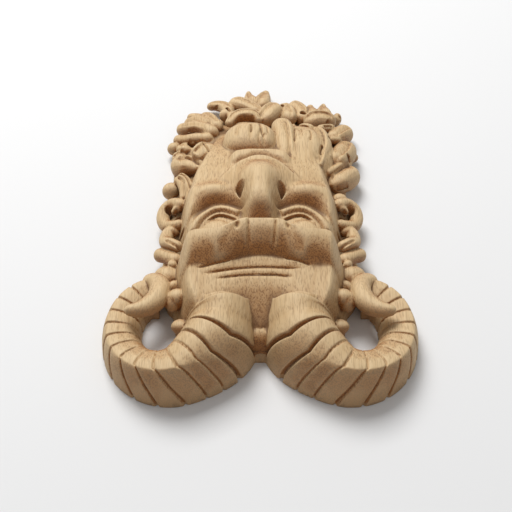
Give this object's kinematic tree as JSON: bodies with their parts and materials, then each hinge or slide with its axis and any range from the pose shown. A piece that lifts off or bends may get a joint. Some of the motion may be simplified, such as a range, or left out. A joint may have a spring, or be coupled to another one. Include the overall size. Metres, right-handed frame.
{
  "type": "carved satyr mask onlay",
  "caption": "Carved wooden mask of a bearded, frowning satyr with ringed ram's horns, flat at the back, to be fixed to a wall or furniture.",
  "frame": {"origin": "middle of the bounding box in plan, on the plane of the flat back", "axes": "+Z out of the flat back towards the nose, +Y from the forehead to the beard's tip, +X towards the carving's own right side, which is on the right as seen from the horns' end"},
  "size_m": [0.1714, 0.2538, 0.0472],
  "materials": {
    "carved_oak": "sanded, unfinished"
  },
  "bodies": {
    "root": {"satyr_mask": "carved_oak"}
  },
  "joints": []
}
